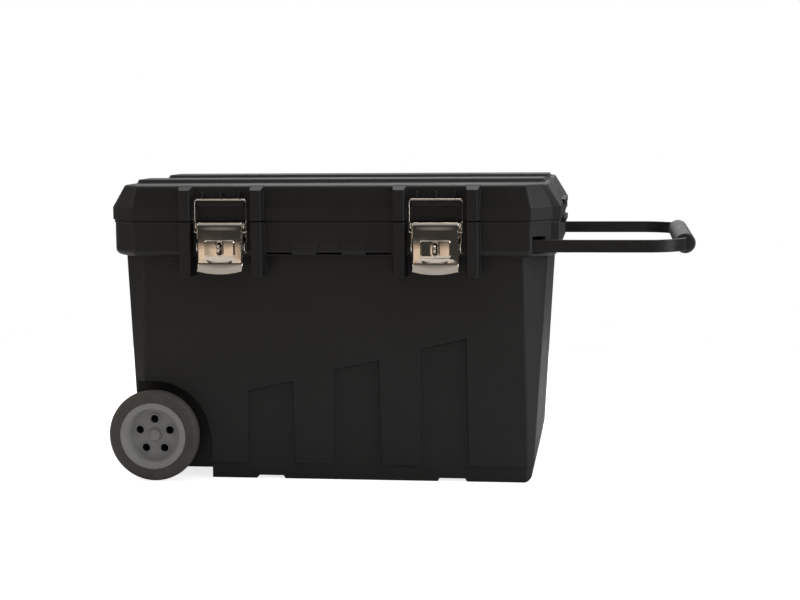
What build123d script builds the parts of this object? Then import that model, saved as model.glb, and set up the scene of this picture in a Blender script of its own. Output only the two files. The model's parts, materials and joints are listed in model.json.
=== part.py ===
from build123d import *
import os

# Rolling carpenter's job chest, in millimetres: tub, hinged lid, two draw latches, two wheels,
# a pull handle that slides in two channels, and a tote tray.
# +X points to the handle end, +Y to the hinge side, +Z up. The origin lies on the floor under
# the middle of the tub, on the bottom of the middle skid.
# A plan lists one quarter's corners, from the end wall round to the long wall.

SIDES = (-1, 1)
WALL = 4.0

# lid
LID_X, LID_Y, LID_TOP_X, LID_TOP_Y = 363.0, 241.0, 341.0, 236.0
LID_PLAN = ((LID_X, 189.0), (351.0, 208.0), (318.0, LID_Y))
LID_TOP_PLAN = ((LID_TOP_X, 190.0), (336.0, 210.0), (310.0, LID_TOP_Y))
LID_BOTTOM, LID_BREAK, LID_TOP = 419.3, 438.8, 475.0
PANEL_RISE, PANEL_HALF_X, PANEL_BEVEL = 6.0, 337.0, 28.0
PANEL_NEAR, PANEL_FAR = 61.0, 141.0
GROOVE_HALF, GROOVE_FLOOR_HALF, GROOVE_FLOOR_Z = 60.0, 8.0, 452.0
TONGUE_BOTTOM, TONGUE_GAP, TONGUE_WALL = 412.3, 1.0, 3.0
REST_PAD_GAP = 0.03

# tub
SEAM = 418.5
RIM_STEP = 3.5
RIM_BOTTOM, RIM_ROUND, LEDGE_TOP = 361.5, 11.0, 366.0
LIP_HEIGHT, LIP_OUT = 4.2, 1.2
BODY_TOP_Y, BAND_X, BAND_Y, BAND_TOP = 221.5, 319.0, 212.5, 25.0
BODY_TOP_PLAN = ((342.8, 185.0), (304.8, BODY_TOP_Y))
BODY_LOW_PLAN = ((321.6, 207.6), (312.4, 216.8))
BAND_PLAN = ((BAND_X, 204.0), (310.5, BAND_Y))
CAVITY_LOW_PLAN = ((313.5, 200.5), (305.5, 208.5))
FLOOR_BOTTOM, BODY_ROUND, BAND_END_ROUND = 5.0, 2.0, 14.0
SKID_GAPS, GAP_SLANT = ((-127.0, -80.0), (168.0, 215.0)), 3.0
LEDGE_REACH, LEDGE_HALF, LEDGE_THICK = 367.0, 70.0, 8.0
TUB_LEDGE_Z, LID_LEDGE_Z = 410.0, 440.0

RIM_PADS, RIM_PAD_Z, RIM_PAD_TALL = ((-40.0, 37.0), (0.0, 25.0), (40.0, 37.0)), 379.0, 14.0
WINDOW_XS, WINDOW_WIDE, WINDOW_TALL = (-79.5, 0.0, 79.5), 41.0, 6.0

# recessed columns in the long walls
COLUMN_COUNT, COLUMN_PITCH, COLUMN_FIRST_X = 3, 140.0, -101.0
COLUMN_FIRST_TOP, COLUMN_RISE, COLUMN_SLANT = 143.0, 35.0, 15.0
COLUMN_LOW_HALF, COLUMN_HIGH_HALF, COLUMN_BEVEL = 39.0, 34.5, 20.0

# wheels, axle and wheel wells
AXLE_X, AXLE_R, AXLE_HALF = -287.5, 6.0, 243.3
WHEEL_R, WHEEL_Y, TYRE_HALF = 73.8, 236.0, 19.0
AXLE_Z = WHEEL_R
TYRE_OUTER_BOW = ((62.0, TYRE_HALF), (70.4, 15.9), (WHEEL_R, 8.0))
TYRE_INNER_BOW = ((72.5, -2.0), (69.5, -11.0), (64.0, -TYRE_HALF))
HUB_R, HUB_WALL, HUB_LIP_R, HUB_FRONT, HUB_BACK = 54.0, 4.0, 44.0, 19.5, -24.5
DISH_R, DISH_FACE, DISH_THICK = 40.0, 4.0, 5.0
BOSS_R, BOSS_FRONT, HUB_BORE_R = 12.0, 5.0, 6.08
HUB_HOLES, HUB_HOLE_R, HUB_HOLE_CIRCLE, HOLE_RING_R = 5, 6.6, 26.0, 9.6
CAP_R, CAP_SEAT, CAP_BACK, CAP_FACE = 9.5, AXLE_HALF - WHEEL_Y, 5.3, 8.8
CAP_ROUND, CAP_BUTTON = ((CAP_R, 7.5), (8.0, CAP_FACE)), ((4.7, CAP_FACE), (3.5, 9.6))
WELL_X, WELL_Z, WELL_R = -293.0, 66.0, 91.5
WELL_FACE_Y, WELL_RIGHT, AXLE_END_BOTTOM = 204.0, -200.0, 15.0
WELL_BOSS_R, WELL_BOSS_Y = 46.0, 207.5
TUNNEL_HALF, TUNNEL_END_WALL = 6.5, 8.0

# latches
LATCH_X = 171.0
RIB_INNER, RIB_OUTER, RIB_FLARE = 49.0, 66.0, 2.5
RIB_FACE_Y, RIB_LOW_Z = 254.0, 331.5
PIVOT_Y, PIVOT_Z, PIN_R = -250.0, 412.0, 2.0
PLATE_HALF, PLATE_LOW, PLATE_HIGH, SHEET = 40.0, 368.0, 414.0, 1.5
EAR_INNER, EAR_R = 37.6, 5.5
LEVER_HALF, LEVER_SHEET, LEVER_FACE_Y, BARREL_R = 36.5, 1.4, -256.4, 6.4
EMBOSS_HALF, EMBOSS_LOW, EMBOSS_HIGH, EMBOSS_FACE_Y = 24.5, 362.5, 390.5, -258.5
STAPLE_Y, STAPLE_Z, STAPLE_R, STAPLE_HOLE_R, STAPLE_THICK = -263.0, 376.5, 6.5, 4.0, 3.2
SLOT_WIDTH, SLOT_LENGTH = 7.2, 20.0
HOOK_Y, HOOK_Z, HOOK_R = -249.5, 402.0, 1.45
BAIL_R, BAIL_HALF, BAIL_END, BAIL_TOP_Y, BAIL_TOP_Z = 1.4, 41.75, 33.0, -248.0, 453.0
CATCH_FACE_Y, CATCH_LOW, CATCH_HIGH, CATCH_HALF = 246.0, 444.0, 451.5, 38.0
RIVET_R, RIVET_HEAD_R, RIVET_TAIL_R, RIVET_OFFSET, RIVET_ZS = 2.0, 3.8, 3.2, 26.0, (376.0, 401.0)

# pull handle, its channels and rails
BAR_Z, BAR_TALL, BAR_THICK, BAR_FACE_Y = 378.9, 19.6, 7.0, 230.5
BAR_START_X, BAR_END_X, BAR_BEND_R = 199.0, 561.5, 66.0
GRIP_R, GRIP_HALF, GRIP_ROUND = 16.3, 166.0, 4.0
STOP_X, STOP_LENGTH, STOP_INNER_Y, STOP_OUTER_Y = 197.0, 40.5, 221.6, 231.9
BUSH_LENGTH, BUSH_INNER_Y, BUSH_OUTER_Y = 60.0, 221.2, 233.3
SLIP, FIT = 0.05, 0.02
RAIL_HALF_X, RAIL_TOP, RAIL_SHEET, RAIL_FACE_Y = 300.0, 393.2, 3.0, 218.0
RAIL_FOOT_LOW, RAIL_FOOT_Y, RAIL_FRONT_Y = 350.0, 213.4, 233.4
SCREW_XS, SCREW_Z, SCREW_R, SCREW_HEAD_R = (-250.0, -90.0, 90.0, 250.0), 353.5, 1.8, 3.3
SCREW_TIP_Y = 220.3

# hinge
HINGE_Y, HINGE_Z, KNUCKLE_R, HINGE_PIN_R, HINGE_PIN_LENGTH = 249.0, 417.0, 7.0, 3.0, 84.0
HINGE_XS = (-230.0, 0.0, 230.0)
LID_KNUCKLE, TUB_KNUCKLE, KNUCKLE_GAP = 40.0, 20.0, 0.5

# mouths of the handle channels
MOUTH_X, MOUTH_LONG, MOUTH_Y, MOUTH_WIDE, MOUTH_TALL = 328.0, 34.0, 223.6, 19.2, 26.5

# tote tray
TRAY_X0, TRAY_X1, TRAY_FLOOR, TRAY_TOP, TRAY_WALL = -300.0, -10.0, 300.0, 396.4, 2.5
TRAY_HALF_Y, TRAY_LOW_HALF_Y, TRAY_FLANGE_Y, TRAY_FLANGE = 208.0, 200.0, 231.0, 2.9
TRAY_GRIP_TOP, TRAY_GRIP_HALF, TRAY_GRIP_WIDE = 438.0, 70.0, 16.0
TRAY_SLOT_LENGTH, TRAY_SLOT_TALL = 92.0, 26.0

BELOW = (Align.CENTER, Align.CENTER, Align.MAX)

os.makedirs("parts", exist_ok=True)


def inset(plan, distance):
    """The plan with every wall moved inwards by a distance."""
    facets = [Vector(b[1] - a[1], a[0] - b[0]).normalized() for a, b in zip(plan, plan[1:])]
    normals = [Vector(1, 0), *facets, Vector(0, 1)]
    moved = []
    for corner, before, after in zip(plan, normals, normals[1:]):
        shift = (before + after) * (distance / (1 + before.dot(after)))
        moved.append((corner[0] - shift.X, corner[1] - shift.Y))
    return moved


def outline(plan, z, corner_round=8.0):
    """A plan drawn at height z with its corners rounded."""
    quarter = list(plan)
    points = quarter + [(-x, y) for x, y in reversed(quarter)]
    points += [(-x, -y) for x, y in points]
    with BuildSketch(Plane.XY.offset(z)) as drawn:
        with BuildLine():
            Polyline(*points, close=True)
        make_face()
        fillet(drawn.vertices(), corner_round)
    return drawn.sketch


def inner_outline(plan, z):
    """A plan drawn for the inside of a wall, with tighter corners."""
    return outline(plan, z, 5.0)


def well_outline(grow):
    """Wheel well seen from the side: an arch that runs out through the axle end and the floor."""
    top = WELL_Z + WELL_R + grow
    with BuildSketch(Plane.XZ) as arch:
        with Locations((WELL_X, WELL_Z)):
            Circle(WELL_R + grow)
        with BuildLine():
            Polyline(
                (WELL_X, top),
                (WELL_X - 150, top),
                (WELL_X - 150, -10),
                (WELL_RIGHT + grow, -10),
                (WELL_RIGHT + grow, WELL_Z),
                (WELL_X, WELL_Z),
                close=True,
            )
        make_face()
    return arch.sketch


def column_points(index, grow=0.0):
    """Corners of one recessed column seen from the front, with its slanted top."""
    middle = COLUMN_FIRST_X + COLUMN_PITCH * index
    top = COLUMN_FIRST_TOP + COLUMN_RISE * index
    low, high = COLUMN_LOW_HALF + grow, COLUMN_HIGH_HALF + grow
    return [
        (middle - low, -10),
        (middle + low, -10),
        (middle + high, top + COLUMN_SLANT + grow),
        (middle - high, top + grow),
    ]


def rib_block(z0, z1, root_y):
    """The four upright ribs that flank the latches, flared towards the wall."""
    half, middle = (RIB_OUTER - RIB_INNER) / 2, (RIB_OUTER + RIB_INNER) / 2
    with BuildPart() as block:
        with BuildSketch(Plane.XY.offset(z0)):
            for x in [latch * LATCH_X + side * middle for latch in SIDES for side in SIDES]:
                with BuildLine():
                    Polyline(
                        (x - half, -RIB_FACE_Y),
                        (x + half, -RIB_FACE_Y),
                        (x + half + RIB_FLARE, -RIM_Y),
                        (x + half + RIB_FLARE, root_y),
                        (x - half - RIB_FLARE, root_y),
                        (x - half - RIB_FLARE, -RIM_Y),
                        close=True,
                    )
                make_face()
        extrude(amount=z1 - z0)
        fillet(block.edges().filter_by(Axis.Z).group_by(Axis.Y)[0], 2.5)
    return block.part


def rivet_places(y):
    """Where the rivets of both latch plates sit."""
    return [
        (latch * LATCH_X + side * RIVET_OFFSET, y, z)
        for latch in SIDES
        for side in SIDES
        for z in RIVET_ZS
    ]


def x_axis_spot(x, y, z):
    """A location whose local Z runs along +X."""
    return Location((x, y, z), (0, 90, 0))


def y_axis_spot(x, y, z):
    """A location whose local Z runs along -Y."""
    return Location((x, y, z), (90, 0, 0))


RIM_PLAN = inset(LID_PLAN, RIM_STEP)
RIM_X, RIM_Y = LID_X - RIM_STEP, LID_Y - RIM_STEP
RIM_INNER_Y = RIM_Y - WALL
PLATE_FACE_Y = -RIM_Y - SHEET

# ---------------------------------------------------------------- tub
# what is cut from the outside of a long wall: three columns and the wheel well
with BuildPart() as wall_cuts:
    for index in range(COLUMN_COUNT):
        with BuildSketch(Plane.XZ.offset(BAND_Y)):
            with BuildLine():
                Polyline(*column_points(index), close=True)
            make_face()
        extrude(amount=12, taper=-COLUMN_BEVEL)
    with BuildSketch(Plane.XZ.offset(WELL_FACE_Y)):
        add(well_outline(0))
    extrude(amount=40)

# the same cuts grown by the wall, which the hollow has to leave standing
with BuildPart() as wall_keeps:
    for index in range(COLUMN_COUNT):
        with BuildSketch(Plane.XZ.offset(BAND_Y - WALL)):
            with BuildLine():
                Polyline(*column_points(index, WALL), close=True)
            make_face()
        extrude(amount=20)
    with BuildSketch(Plane.XZ.offset(WELL_FACE_Y - WALL)):
        add(well_outline(WALL))
    extrude(amount=30)

with BuildPart() as tub_hollow:
    low_section = inner_outline(CAVITY_LOW_PLAN, FLOOR_BOTTOM + WALL)
    loft([low_section, inner_outline(inset(BODY_TOP_PLAN, WALL), LEDGE_TOP + 0.5)], ruled=True)
    add(wall_keeps.part, mode=Mode.SUBTRACT)
    mirror(wall_keeps.part, about=Plane.XZ, mode=Mode.SUBTRACT)
    with Locations((WELL_RIGHT + WALL, 0, AXLE_END_BOTTOM + WALL)):
        Box(150, 2 * RIM_Y, 20, align=(Align.MAX, Align.CENTER, Align.MAX), mode=Mode.SUBTRACT)
    ridge_half, ridge_top = TUNNEL_HALF + WALL, AXLE_Z + TUNNEL_HALF + WALL
    with Locations((AXLE_X, 0, ridge_top)):
        Box(2 * ridge_half, 2 * RIM_Y, ridge_top, align=BELOW, mode=Mode.SUBTRACT)
    extrude(inner_outline(inset(RIM_PLAN, WALL), LEDGE_TOP), amount=80)

with BuildPart() as rim_block:
    extrude(outline(RIM_PLAN, RIM_BOTTOM), amount=SEAM - RIM_BOTTOM)
    fillet(rim_block.edges().group_by(Axis.Z)[0], RIM_ROUND)
    extrude(outline(inset(RIM_PLAN, -LIP_OUT), SEAM - LIP_HEIGHT), amount=LIP_HEIGHT)

# band round the foot of the tub, rounded at both ends, with two gaps that part the skids
with BuildPart() as foot_band:
    extrude(outline(BAND_PLAN, 0), amount=BAND_TOP + 1)
    with BuildSketch(Plane.XZ.offset(-BAND_Y)):
        RectangleRounded(2 * BAND_X, 4 * BAND_TOP, BAND_END_ROUND, align=(Align.CENTER, Align.MIN))
    extrude(amount=2 * BAND_Y, mode=Mode.INTERSECT)
    for start, end in SKID_GAPS:
        with BuildSketch(Plane.XZ.offset(-BAND_Y)):
            with BuildLine():
                Polyline(
                    (start, 0),
                    (end, 0),
                    (end - GAP_SLANT, FLOOR_BOTTOM),
                    (start + GAP_SLANT, FLOOR_BOTTOM),
                    close=True,
                )
            make_face()
        extrude(amount=2 * BAND_Y, mode=Mode.SUBTRACT)

# hinge knuckles and the webs that carry them
with BuildPart() as tub_knuckles:
    for hinge_x in HINGE_XS:
        for side in SIDES:
            knuckle_x = hinge_x + side * (LID_KNUCKLE / 2 + KNUCKLE_GAP + TUB_KNUCKLE / 2)
            with BuildSketch(Plane.YZ.offset(knuckle_x - TUB_KNUCKLE / 2)):
                with BuildLine():
                    Polyline(
                        (RIM_Y - 2, HINGE_Z - 22),
                        (HINGE_Y + KNUCKLE_R * 0.7, HINGE_Z - KNUCKLE_R * 0.7),
                        (HINGE_Y, HINGE_Z),
                        (RIM_Y - 2, HINGE_Z),
                        close=True,
                    )
                make_face()
                with Locations((HINGE_Y, HINGE_Z)):
                    Circle(KNUCKLE_R)
            extrude(amount=TUB_KNUCKLE)

with BuildPart() as tub:
    loft([outline(BODY_LOW_PLAN, BAND_TOP), outline(BODY_TOP_PLAN, RIM_BOTTOM)], ruled=True)
    fillet(tub.edges().group_by(Axis.Z)[0], BODY_ROUND)
    add(foot_band.part)
    add(wall_cuts.part, mode=Mode.SUBTRACT)
    mirror(wall_cuts.part, about=Plane.XZ, mode=Mode.SUBTRACT)
    with Locations((WELL_RIGHT, 0, AXLE_END_BOTTOM)):
        Box(150, 2 * RIM_Y, 20, align=(Align.MAX, Align.CENTER, Align.MAX), mode=Mode.SUBTRACT)
    add(rim_block.part)
    add(rib_block(RIB_LOW_Z, SEAM - 1, -BODY_TOP_Y + 2))
    add(tub_hollow.part, mode=Mode.SUBTRACT)
    add(tub_knuckles.part)
    # finger ledge across each end
    for side in SIDES:
        with Locations((side * (LEDGE_REACH + RIM_X - 1) / 2, 0, TUB_LEDGE_Z)):
            Box(LEDGE_REACH - RIM_X + 1, 2 * LEDGE_HALF, LEDGE_THICK)
    # wheel bosses on the wells, and raised pads on the long sides of the rim
    for side in SIDES:
        with Locations(y_axis_spot(AXLE_X, side * (WELL_FACE_Y + WELL_BOSS_Y - 1) / 2, AXLE_Z)):
            Cylinder(WELL_BOSS_R, WELL_BOSS_Y - WELL_FACE_Y + 1)
        for x, wide in RIM_PADS:
            with Locations((x, side * RIM_Y, RIM_PAD_Z)):
                Box(wide, 2, RIM_PAD_TALL)
    # tunnel for the axle, open downwards between its two bored end walls
    tunnel_long, tunnel_top = 2 * (WELL_FACE_Y - TUNNEL_END_WALL), AXLE_Z + TUNNEL_HALF
    with Locations((AXLE_X, 0, tunnel_top)):
        Box(2 * TUNNEL_HALF, tunnel_long, tunnel_top, align=BELOW, mode=Mode.SUBTRACT)
    with Locations(y_axis_spot(AXLE_X, 0, AXLE_Z)):
        Cylinder(AXLE_R + FIT, 2 * RIM_Y, mode=Mode.SUBTRACT)
    # mouths of the handle channels, and snap windows under the rim
    for side in SIDES:
        with Locations((MOUTH_X, side * MOUTH_Y, BAR_Z + 1.5)):
            Box(MOUTH_LONG, MOUTH_WIDE, MOUTH_TALL, mode=Mode.SUBTRACT)
        for x in WINDOW_XS:
            with Locations((x, side * (RIM_Y - 1), LEDGE_TOP)):
                Box(WINDOW_WIDE, 2 * WALL, WINDOW_TALL, mode=Mode.SUBTRACT)
    # bores for hinge pins and latch rivets
    with Locations(x_axis_spot(0, HINGE_Y, HINGE_Z)):
        Cylinder(HINGE_PIN_R + FIT, 2 * RAIL_HALF_X, mode=Mode.SUBTRACT)
    with Locations([y_axis_spot(*place) for place in rivet_places(-RIM_Y + WALL / 2)]):
        Cylinder(RIVET_R + FIT, 3 * WALL, mode=Mode.SUBTRACT)
tub.part.label = "tub"
export_step(tub.part, "parts/tub.step")

# ---------------------------------------------------------------- lid
# section of the groove along the middle of the lid
def groove_block(grow):
    """The V-groove, cut down from the lid's top, as a bar along X."""
    rise = LID_TOP + 10
    with BuildPart() as bar:
        with BuildSketch(Plane.YZ.offset(-LID_X - 5)):
            with BuildLine():
                Polyline(
                    (-GROOVE_HALF - 1.5 * grow, rise),
                    (-GROOVE_HALF - 1.5 * grow, LID_TOP),
                    (-GROOVE_FLOOR_HALF - grow / 2, GROOVE_FLOOR_Z - grow),
                    (GROOVE_FLOOR_HALF + grow / 2, GROOVE_FLOOR_Z - grow),
                    (GROOVE_HALF + 1.5 * grow, LID_TOP),
                    (GROOVE_HALF + 1.5 * grow, rise),
                    close=True,
                )
            make_face()
        extrude(amount=2 * LID_X + 10)
    return bar.part


with BuildPart() as lid_hollow:
    wall_plan = inset(LID_PLAN, WALL)
    extrude(inner_outline(wall_plan, LID_BOTTOM + WALL), amount=LID_BREAK - LID_BOTTOM - WALL)
    roof = inner_outline(inset(LID_TOP_PLAN, WALL), LID_TOP - WALL)
    loft([inner_outline(wall_plan, LID_BREAK), roof], ruled=True)
    for side in SIDES:
        with BuildSketch(Plane.XY.offset(LID_TOP - WALL - 1)):
            with Locations((0, side * (PANEL_NEAR + PANEL_FAR + 2) / 2)):
                RectangleRounded(2 * PANEL_HALF_X - 20, PANEL_FAR - PANEL_NEAR - 16, 4)
        extrude(amount=PANEL_RISE + 1)
    add(groove_block(WALL), mode=Mode.SUBTRACT)

with BuildPart() as lid_knuckles:
    for hinge_x in HINGE_XS:
        with BuildSketch(Plane.YZ.offset(hinge_x - LID_KNUCKLE / 2)):
            with BuildLine():
                Polyline(
                    (LID_Y - 1, LID_BOTTOM + 0.4),
                    (HINGE_Y, LID_BOTTOM + 0.4),
                    (HINGE_Y + KNUCKLE_R * 0.7, HINGE_Z + KNUCKLE_R * 0.7),
                    (LID_Y - 1, LID_BREAK - 2),
                    close=True,
                )
            make_face()
            with Locations((HINGE_Y, HINGE_Z)):
                Circle(KNUCKLE_R)
        extrude(amount=LID_KNUCKLE)

with BuildPart() as lid_ribs:
    add(rib_block(LID_BOTTOM + 0.5, LID_TOP, -LID_TOP_Y + 4))
    with BuildSketch(Plane.YZ.offset(-LID_X)):
        with BuildLine():
            Polyline(
                (-RIB_FACE_Y - 5, LID_TOP - 9),
                (-LID_TOP_Y, LID_TOP - 0.5),
                (-LID_TOP_Y, LID_TOP + 10),
                (-RIB_FACE_Y - 5, LID_TOP + 10),
                close=True,
            )
        make_face()
    extrude(amount=2 * LID_X, mode=Mode.SUBTRACT)

with BuildPart() as lid:
    extrude(outline(LID_PLAN, LID_BOTTOM), amount=LID_BREAK - LID_BOTTOM)
    loft([outline(LID_PLAN, LID_BREAK), outline(LID_TOP_PLAN, LID_TOP)], ruled=True)
    fillet(lid.edges().group_by(Axis.Z)[-1], 5)
    for side in SIDES:
        with BuildSketch(Plane.XY.offset(LID_TOP - 0.5)):
            with Locations((0, side * (PANEL_NEAR + PANEL_FAR) / 2)):
                RectangleRounded(2 * PANEL_HALF_X, PANEL_FAR - PANEL_NEAR, 7)
        extrude(amount=PANEL_RISE + 0.5, taper=PANEL_BEVEL)
    add(groove_block(0), mode=Mode.SUBTRACT)
    add(lid_ribs.part)
    add(lid_hollow.part, mode=Mode.SUBTRACT)
    # opening at the bottom, inside the tongue that drops into the tub's rim
    tongue_plan = inset(RIM_PLAN, WALL + TONGUE_GAP)
    extrude(inner_outline(tongue_plan, TONGUE_BOTTOM), amount=LID_BOTTOM - TONGUE_BOTTOM)
    mouth = inner_outline(inset(tongue_plan, TONGUE_WALL), TONGUE_BOTTOM - 1)
    extrude(mouth, amount=LID_BOTTOM + WALL - TONGUE_BOTTOM + 2, mode=Mode.SUBTRACT)
    # pads that carry the lid on the tub's rim
    for side in SIDES:
        for x in (-290, 0, 290):
            with Locations((x, side * (RIM_Y - WALL / 2), SEAM + REST_PAD_GAP)):
                Box(20, 3, LID_BOTTOM - SEAM + 1, align=(Align.CENTER, Align.CENTER, Align.MIN))
    # finger ledge across each end
    for side in SIDES:
        with Locations((side * (LEDGE_REACH + LID_X - WALL) / 2, 0, LID_LEDGE_Z)):
            Box(LEDGE_REACH - LID_X + WALL, 2 * LEDGE_HALF, LEDGE_THICK)
    for latch_x in (-LATCH_X, LATCH_X):
        # catch lip, the fins above it and the pocket under it
        with Locations((latch_x, -CATCH_FACE_Y, CATCH_LOW)):
            Box(2 * CATCH_HALF, 9, CATCH_HIGH - CATCH_LOW, align=(Align.CENTER, Align.MIN, Align.MIN))
        for offset_x in (-30, 0, 30):
            with Locations((latch_x + offset_x, -CATCH_FACE_Y + 0.5, CATCH_HIGH - 1)):
                Box(2.5, 9.5, 14.5, align=(Align.CENTER, Align.MIN, Align.MIN))
        with Locations((latch_x, -LID_Y, 432)):
            Box(2 * CATCH_HALF + 2, 4, 22, mode=Mode.SUBTRACT)
    add(lid_knuckles.part)
    with Locations(x_axis_spot(0, HINGE_Y, HINGE_Z)):
        Cylinder(HINGE_PIN_R + 4 * FIT, 2 * RAIL_HALF_X, mode=Mode.SUBTRACT)
lid.part.label = "lid"
export_step(lid.part, "parts/lid.step")

with BuildPart() as hinge_pins:
    with Locations([x_axis_spot(x, HINGE_Y, HINGE_Z) for x in HINGE_XS]):
        Cylinder(HINGE_PIN_R, HINGE_PIN_LENGTH)
hinge_pins.part.label = "hinge_pins"
export_step(hinge_pins.part, "parts/hinge_pins.step")

# ---------------------------------------------------------------- latches
def latch_plate(latch_x):
    """Stamped plate of one latch: pivot ears, side guards and the padlock staple."""
    ear_root, guard_root = PLATE_FACE_Y + 0.5, PLATE_LOW + 1
    with BuildPart() as plate:
        with Locations((latch_x, PLATE_FACE_Y, (PLATE_LOW + PLATE_HIGH) / 2)):
            Box(2 * PLATE_HALF, SHEET, PLATE_HIGH - PLATE_LOW, align=(Align.CENTER, Align.MIN, Align.CENTER))
        fillet(plate.edges().filter_by(Axis.Y), 3)
        for ear_x in (latch_x + EAR_INNER, latch_x - EAR_INNER - SHEET):
            with BuildSketch(Plane.YZ.offset(ear_x)):
                with BuildLine():
                    Polyline(
                        (ear_root, PIVOT_Z - 7),
                        (PIVOT_Y, PIVOT_Z - EAR_R),
                        (PIVOT_Y, PIVOT_Z + EAR_R),
                        (ear_root - 1, PIVOT_Z + 3),
                        (ear_root, PLATE_HIGH),
                        close=True,
                    )
                make_face()
                with Locations((PIVOT_Y, PIVOT_Z)):
                    Circle(EAR_R)
                with BuildLine():
                    Polyline(
                        (ear_root, guard_root),
                        (-250, guard_root + 3),
                        (-252, guard_root + 9),
                        (-250, guard_root + 15),
                        (ear_root, guard_root + 18),
                        close=True,
                    )
                make_face()
            extrude(amount=SHEET)
        # staple: a blade that stands out through the lever's slot
        with BuildSketch(Plane.YZ.offset(latch_x - STAPLE_THICK / 2)):
            with BuildLine():
                Polyline(
                    (ear_root, STAPLE_Z - STAPLE_R - 1),
                    (STAPLE_Y, STAPLE_Z - STAPLE_R),
                    (STAPLE_Y, STAPLE_Z + STAPLE_R),
                    (ear_root, STAPLE_Z + STAPLE_R + 1),
                    close=True,
                )
            make_face()
            with Locations((STAPLE_Y, STAPLE_Z)):
                Circle(STAPLE_R)
                Circle(STAPLE_HOLE_R, mode=Mode.SUBTRACT)
        extrude(amount=STAPLE_THICK)
        with Locations(x_axis_spot(latch_x, PIVOT_Y, PIVOT_Z)):
            Cylinder(PIN_R + FIT, 3 * PLATE_HALF, mode=Mode.SUBTRACT)
        with Locations([y_axis_spot(*place) for place in rivet_places(PLATE_FACE_Y)]):
            Cylinder(RIVET_R + FIT, 4 * SHEET, mode=Mode.SUBTRACT)
    return plate.part


def lever(latch_x):
    """Latch lever: rolled barrel, cheeks, pressed pad with the staple's slot, curled lip."""
    left_x, width = latch_x - LEVER_HALF, 2 * LEVER_HALF
    back_y = LEVER_FACE_Y + LEVER_SHEET
    with BuildPart() as handle:
        # sheet: barrel, straight front and the lip that curls out at the bottom
        with BuildSketch(Plane.YZ.offset(left_x)):
            with Locations((PIVOT_Y, PIVOT_Z)):
                Circle(BARREL_R)
                Circle(BARREL_R - LEVER_SHEET, mode=Mode.SUBTRACT)
            with Locations((PIVOT_Y, PIVOT_Z)):
                Rectangle(BARREL_R + 2, 2 * BARREL_R, align=(Align.MIN, Align.MAX), mode=Mode.SUBTRACT)
            with BuildLine():
                Polyline(
                    (LEVER_FACE_Y, PIVOT_Z),
                    (LEVER_FACE_Y, 352),
                    (-258.2, 346.5),
                    (-264.3, 336),
                    (-263.0, 335.2),
                    (-257.0, 345.7),
                    (back_y, 351.7),
                    (back_y, PIVOT_Z),
                    close=True,
                )
            make_face()
        extrude(amount=width)
        # pressed pad
        with Locations((latch_x, EMBOSS_FACE_Y, (EMBOSS_LOW + EMBOSS_HIGH) / 2)):
            Box(2 * EMBOSS_HALF, 3, EMBOSS_HIGH - EMBOSS_LOW, align=(Align.CENTER, Align.MIN, Align.CENTER))
        with Locations((latch_x, EMBOSS_FACE_Y + LEVER_SHEET, (EMBOSS_LOW + EMBOSS_HIGH) / 2)):
            Box(
                2 * (EMBOSS_HALF - LEVER_SHEET),
                6,
                EMBOSS_HIGH - EMBOSS_LOW - 2 * LEVER_SHEET,
                align=(Align.CENTER, Align.MIN, Align.CENTER),
                mode=Mode.SUBTRACT,
            )
        # cheeks that carry the pivot pin and the bail
        for cheek_x in (left_x, left_x + width - LEVER_SHEET):
            with BuildSketch(Plane.YZ.offset(cheek_x)):
                with Locations((PIVOT_Y, PIVOT_Z)):
                    Circle(BARREL_R)
                with BuildLine():
                    Polyline(
                        (LEVER_FACE_Y, PIVOT_Z),
                        (LEVER_FACE_Y, 394),
                        (-247, 396),
                        (-245.5, 399),
                        (-245.5, 405),
                        (-244.2, PIVOT_Z),
                        close=True,
                    )
                make_face()
                with Locations((HOOK_Y, HOOK_Z)):
                    Circle(HOOK_R, mode=Mode.SUBTRACT)
                with Locations((PIVOT_Y, PIVOT_Z)):
                    Circle(PIN_R + SLIP, mode=Mode.SUBTRACT)
            extrude(amount=LEVER_SHEET)
        # slot for the staple, and the bowed bottom edge
        with BuildSketch(Plane.XZ.offset(-STAPLE_Y - 10)):
            with Locations((latch_x, STAPLE_Z)):
                SlotOverall(SLOT_LENGTH, SLOT_WIDTH, rotation=90)
        extrude(amount=12, mode=Mode.SUBTRACT)
        with BuildSketch(Plane.XZ.offset(-PIVOT_Y)):
            with BuildLine():
                ThreePointArc((left_x - 1, 341.5), (latch_x, 336.2), (left_x + width + 1, 341.5))
                Polyline(
                    (left_x + width + 1, 341.5),
                    (left_x + width + 1, 330),
                    (left_x - 1, 330),
                    (left_x - 1, 341.5),
                )
            make_face()
        extrude(amount=20, mode=Mode.SUBTRACT)
    return handle.part


def bail(latch_x):
    """Wire bail: two short hooked ends, two uprights and the bar that goes over the catch."""
    with BuildPart() as wire:
        with BuildLine() as path:
            Polyline(
                (latch_x - BAIL_END, HOOK_Y, HOOK_Z),
                (latch_x - BAIL_HALF, HOOK_Y, HOOK_Z),
                (latch_x - BAIL_HALF, BAIL_TOP_Y, BAIL_TOP_Z),
                (latch_x + BAIL_HALF, BAIL_TOP_Y, BAIL_TOP_Z),
                (latch_x + BAIL_HALF, HOOK_Y, HOOK_Z),
                (latch_x + BAIL_END, HOOK_Y, HOOK_Z),
            )
            low = [v for v in path.vertices() if abs(v.Z - HOOK_Z) < 1 and abs(v.X - latch_x) > BAIL_END + 1]
            high = [v for v in path.vertices() if abs(v.Z - BAIL_TOP_Z) < 1]
            fillet(low, 2.2)
            fillet(high, 4.5)
        with BuildSketch(Plane((latch_x - BAIL_END, HOOK_Y, HOOK_Z), z_dir=(-1, 0, 0))):
            Circle(BAIL_R)
        sweep(path=path.wires()[0])
    return wire.part


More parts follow.
